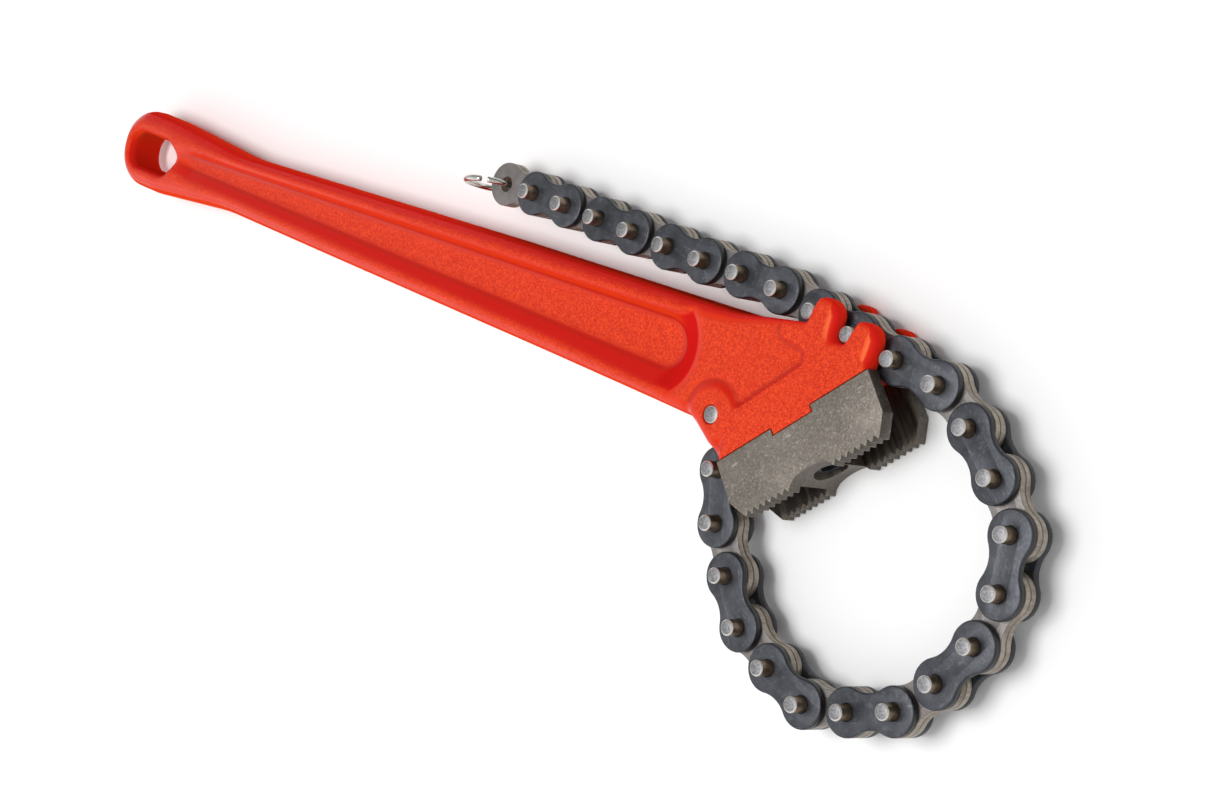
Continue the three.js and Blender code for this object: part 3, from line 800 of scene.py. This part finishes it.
# ---- the jaw ----
def jaw_outline():
    """The jaw seen from above, anticlockwise: two rows of teeth with a hollow between them."""
    tooth = (TENON[0] - JAW_CHAMFER) / TEETH
    root = JAW_HEIGHT - TOOTH_DEPTH

    def row_of_teeth(start):
        row = []
        for i in range(TEETH):
            row.append((start + i * tooth, root))
            row += [(start + (i + tip) * tooth, JAW_HEIGHT) for tip in TOOTH_TIP]
        return row + [(start + TEETH * tooth, root)]

    across = np.linspace(TENON[0] + RELIEF_MARGIN, TENON[1] - RELIEF_MARGIN, 15)
    sag = RELIEF * (1 - ((across - SEAT_LENGTH / 2) / RELIEF_HALF) ** 2) ** 0.5
    hollow = list(zip(across, root - sag - RELIEF_STEP))
    left, right, deep = TENON[0] - FIT, TENON[1] + FIT, TENON_DEPTH + FIT
    points = [(0, FIT), (0, JAW_SHOULDER)] + row_of_teeth(JAW_CHAMFER) + hollow + row_of_teeth(TENON[1])
    points += [(SEAT_LENGTH, JAW_SHOULDER), (SEAT_LENGTH, FIT)]
    points += [(right, FIT), (right, deep), (left, deep), (left, FIT)]
    return np.array([seat(u, v) for u, v in points])


def on_screw_axis(vertices):
    """Turns a lathe's Z into the direction v of the seat, at the middle of the jaw."""
    x, y, z = np.asarray(vertices, float).T
    ox, oy = seat(SEAT_LENGTH / 2, 0)
    return np.stack([ox + DIAGONAL * (x + z), oy + DIAGONAL * (x - z), MIDDLE + y], 1)


def screw_lathe(name, profile, count):
    vertices, faces = lathe(profile, count)
    return mesh_object(name, on_screw_axis(vertices) * MM, faces)


def slot_cutter(u0, u1):
    """A block between the jaw's two flanges, from u0 to u1 along the seat."""
    low, high = -CUT_PAST, JAW_HEIGHT + CUT_PAST
    corners = ((u0, low), (u0, high), (u1, high), (u1, low))
    vertices = [(*seat(u, v), z) for z in (WALL, HEAD_THICKNESS - WALL) for u, v in corners]
    walls = [(i, (i + 1) % 4, (i + 1) % 4 + 4, i + 4) for i in range(4)]
    return mesh_object("cutter", np.array(vertices) * MM, [(3, 2, 1, 0), (4, 5, 6, 7)] + walls)


def bore_cutter(radius, low, high, sides=64):
    """A bar on the screw's axis, round or with a few flat sides."""
    return screw_lathe("cutter", [(0, low), (radius, low), (radius, high), (0, high)], sides)


def jaw():
    vertices, faces = rounded_plate(jaw_outline(), [], 0, HEAD_THICKNESS, JAW_BEVEL)
    piece = mesh_object("toothed_jaw", vertices * MM, faces)
    cut(piece, slot_cutter(-CUT_PAST, TENON[0]))
    cut(piece, slot_cutter(TENON[1], SEAT_LENGTH + CUT_PAST))
    cut(piece, bore_cutter(SCREW_BORE, -CUT_PAST, SCREW_BORE_TOP))
    cut(piece, bore_cutter(COUNTERBORE, JAW_HEIGHT - COUNTERBORE_DEPTH, COUNTERBORE_TOP))
    bevel = piece.modifiers.new("edges", "BEVEL")
    bevel.width = JAW_BEVEL * MM
    bevel.segments = 2
    bevel.limit_method = "ANGLE"
    bevel.angle_limit = math.radians(50)
    bake(piece)
    smooth(piece.data, 28)
    return piece


def jaw_screw():
    radius, head = SCREW_HEAD
    corner, depth = SOCKET
    low = JAW_HEIGHT - COUNTERBORE_DEPTH + FIT
    top = low + head
    tip = top - SCREW_LENGTH
    profile = [(0, tip), (SCREW_SHANK - 0.7, tip), (SCREW_SHANK, tip + 0.7), (SCREW_SHANK, low)]
    profile += [(radius, low), (radius, top - 0.8), (radius - 0.15, top - 0.35)]
    profile += [(radius - 0.6, top), (0, top)]
    piece = screw_lathe("socket_screw", profile, 48)
    cut(piece, bore_cutter(corner, top - depth, top + SOCKET_PAST, 6))
    smooth(piece.data, 35)
    return piece


# ---- the chain ----
def plate_outline():
    half = PITCH / 2
    waist_radius = (half * half + WAIST * WAIST - LOBE * LOBE) / (2 * (LOBE - WAIST))
    waist_centre = WAIST + waist_radius
    tangent = math.degrees(math.atan2(waist_centre, half))
    return np.concatenate([
        arc(0, 0, LOBE, tangent, 360 - tangent, 44),
        arc(half, -waist_centre, waist_radius, 180 - tangent, tangent, 12)[1:-1],
        arc(PITCH, 0, LOBE, tangent - 180, 180 - tangent, 44),
        arc(half, waist_centre, waist_radius, -tangent, tangent - 180, 12)[1:-1],
    ])


def shared_mesh(name, vertices, faces, sharp):
    """A mesh for many pieces to share."""
    piece = mesh_object(name, vertices * MM, faces, sharp)
    mesh = piece.data
    bpy.data.objects.remove(piece)
    return mesh


def plate_mesh(name, level, edge):
    """A plate or leaf, counted in levels from the lowest, with its first pin at the origin."""
    bottom = FIRST_PLATE + level * (PLATE + PLATE_GAP)
    holes = [circle(x, 0, HOLE_RADIUS, 40) for x in (0, PITCH)]
    vertices, faces = rounded_plate(plate_outline(), holes, bottom, bottom + PLATE, edge)
    return shared_mesh(name, vertices, faces, 40.0)


def pin_mesh():
    r, chamfer = PIN_RADIUS, PIN_CHAMFER
    end = [(0, -0.04), (r - chamfer - 0.15, 0), (r - chamfer, 0.04)]
    end += [(r - 0.06, chamfer), (r, chamfer + 0.12)]
    profile = [(radius, PIN_BOTTOM + z) for radius, z in end]
    profile += [(radius, PIN_TOP - z) for radius, z in end[::-1]]
    vertices, faces = lathe(profile, 40)
    return shared_mesh("pin", vertices, faces, 30.0)


def rivet():
    """The chain's anchor: a plain shank between the walls, with thicker ends that fill their bores."""
    sunk, chamfer = 0.2, 0.45
    low, high, shoulder = sunk, HEAD_THICKNESS - sunk, WALL - 2 * sunk
    flat = RIVET_HEAD - chamfer
    end = [(0, 0.0), (flat - 0.1, 0.0), (flat, 0.05), (RIVET_HEAD, chamfer)]
    end += [(RIVET_HEAD, shoulder - 0.3), (PIN_RADIUS, shoulder)]
    profile = [(r, low + z) for r, z in end] + [(r, high - z) for r, z in end[::-1]]
    vertices, faces = lathe(profile, 48)
    return mesh_object("anchor_rivet", (vertices + (*ANCHOR, 0)) * MM, faces, 30.0)


def chain(oxide_steel, leaf_steel, pins_steel):
    """Leaves on the odd links, plates and pins on the even ones, each link laid along its two joints."""
    leaf_low = plate_mesh("lower_leaf", 1, LEAF_EDGE)
    leaf_high = plate_mesh("upper_leaf", 2, LEAF_EDGE)
    plate_low = plate_mesh("lower_plate", 0, PLATE_EDGE)
    plate_high = plate_mesh("upper_plate", 3, PLATE_EDGE)
    pin = pin_mesh()
    leaves = [
        ("leaf_low", leaf_low, leaf_steel, "bare_steel", 0, "lower_leaf"),
        ("leaf_high", leaf_high, leaf_steel, "bare_steel", 0, "upper_leaf"),
    ]
    plates = [
        ("plate_low", plate_low, oxide_steel, "black_oxide", 0, "pin_plate"),
        ("plate_high", plate_high, oxide_steel, "black_oxide", 0, "outer_plate"),
        ("pin_a", pin, pins_steel, "bare_steel", 0, "pin_plate"),
        ("pin_b", pin, pins_steel, "bare_steel", PITCH, "pin_plate"),
    ]
    for k in range(LINKS):
        start, end = JOINTS[k], JOINTS[k + 1]
        heading = math.atan2(end[1] - start[1], end[0] - start[0])
        number = f"{k + 1:02d}"
        for kind, mesh, material, slot, along, node in plates if k % 2 else leaves:
            piece = new_object(f"link{number}_{kind}", mesh)
            x, y = start[0] + along * math.cos(heading), start[1] + along * math.sin(heading)
            place = Matrix.Translation((x * MM, y * MM, 0))
            piece.matrix_world = place @ Matrix.Rotation(heading, 4, "Z")
            settle(piece, f"chain_link_{number}", material, f"link{number}_{node}")


def end_ring():
    """An open ring of round wire, nearly upright, its two ends cut off square."""
    turns, sides = 110, 20
    span = 360 - 2 * RING_HALF_GAP
    cut_end = [(-0.16, 0.80), (-0.13, 0.88), (0, 1)]  # how far past the end, and how thick, in wire radii
    wire_part = RING_WIRE / (math.radians(span) * RING_RADIUS)
    path = [(s * wire_part, size) for s, size in cut_end]
    path += [((i + 1) / turns, 1) for i in range(turns - 1)]
    path += [(1 - s * wire_part, size) for s, size in cut_end[::-1]]
    sideways = np.array([0, 1, 0])
    vertices, faces = [], []
    for t, size in path:
        angle = math.radians(RING_GAP_AT + RING_HALF_GAP + t * span)
        out = np.array([math.cos(angle), 0, math.sin(angle)])
        centre = np.array([RING_RADIUS, 0, 0]) + RING_RADIUS * out
        for s in range(sides):
            a = 2 * math.pi * s / sides
            vertices.append(centre + RING_WIRE * size * (math.cos(a) * out + math.sin(a) * sideways))
    count = len(path)
    for i in range(count - 1):
        for s in range(sides):
            n = (s + 1) % sides
            faces.append((i * sides + s, (i + 1) * sides + s, (i + 1) * sides + n, i * sides + n))
    faces.append(tuple(range(sides)))
    faces.append(tuple(range((count - 1) * sides, count * sides))[::-1])
    turn = Matrix.Rotation(math.radians(RING_HEADING), 3, "Z")
    turn = turn @ Matrix.Rotation(math.radians(RING_LEAN), 3, "X")
    hole = JOINTS[LINKS] + (0, 0, RING_RAISE)
    vertices = np.array(vertices) @ np.array(turn).T + hole
    return mesh_object("end_ring_wire", vertices * MM, faces, 60.0)


# ---- camera, light and floor ----
CAMERA_PLACE = (0.47230, 0.09676, 0.61418)
CAMERA_RIGHT = (0.66912557, 0.28460279, -0.6864927)
CAMERA_UP = (-0.31021108, 0.94639889, 0.08999018)
CAMERA_BACK = (0.67530738, 0.15274291, 0.72154663)
CAMERA_LENS = 66.0
FLOOR_HALF = 6.0


def camera():
    data = bpy.data.cameras.new("camera")
    data.lens = CAMERA_LENS
    data.sensor_width = 36.0
    made = new_object("camera", data)
    turn = Matrix((CAMERA_RIGHT, CAMERA_UP, CAMERA_BACK)).transposed().to_4x4()
    made.matrix_world = Matrix.Translation(CAMERA_PLACE) @ turn
    bpy.context.scene.camera = made


def soft_light(name, place, target, size, power):
    data = bpy.data.lights.new(name, "AREA")
    data.shape = "RECTANGLE"
    data.size, data.size_y = size
    data.energy = power
    made = new_object(name, data)
    made.location = place
    made.rotation_euler = (Vector(target) - Vector(place)).to_track_quat("-Z", "Y").to_euler()


def studio():
    """A white room that is darker towards +Y, a large light overhead and a fill from the left."""
    scene = bpy.context.scene
    world = bpy.data.worlds.new("studio")
    world.use_nodes = True
    nodes, links = world.node_tree.nodes, world.node_tree.links
    background = nodes["Background"]
    background.inputs["Color"].default_value = (1.0, 1.0, 1.0, 1)
    toward = nodes.new("ShaderNodeSeparateXYZ")
    shade = nodes.new("ShaderNodeMapRange")
    for socket, value in {"From Min": -0.1, "From Max": 0.6, "To Min": 0.72, "To Max": 0.26}.items():
        shade.inputs[socket].default_value = value
    links.new(nodes.new("ShaderNodeTexCoord").outputs["Generated"], toward.inputs[0])
    links.new(toward.outputs["Y"], shade.inputs["Value"])
    links.new(shade.outputs[0], background.inputs["Strength"])
    scene.world = world
    scene.view_settings.view_transform = "Standard"
    middle = (-0.12, 0, 0)
    soft_light("overhead", (-0.12, -0.05, 1.3), middle, (0.6, 0.6), 10.5)
    soft_light("fill", (-0.9, -0.8, 0.5), middle, (1.2, 0.7), 1.5)
    corners = [(x * FLOOR_HALF, y * FLOOR_HALF, 0) for x, y in ((-1, -1), (1, -1), (1, 1), (-1, 1))]
    floor = mesh_object("floor", corners, [(0, 1, 2, 3)])
    floor.data.materials.append(paper())


camera()
studio()
oxide_steel = oxide()
ground = jaw_steel()
pins_steel = pin_steel()
settle(casting(), BODY, enamel(), "handle")
settle(jaw(), BODY, ground, "jaw")
settle(jaw_screw(), BODY, oxide_steel, "jaw_screw")
settle(rivet(), BODY, pins_steel, "anchor_pin")
chain(oxide_steel, bare_steel(), pins_steel)
settle(end_ring(), "ring", nickel(), "end_ring")
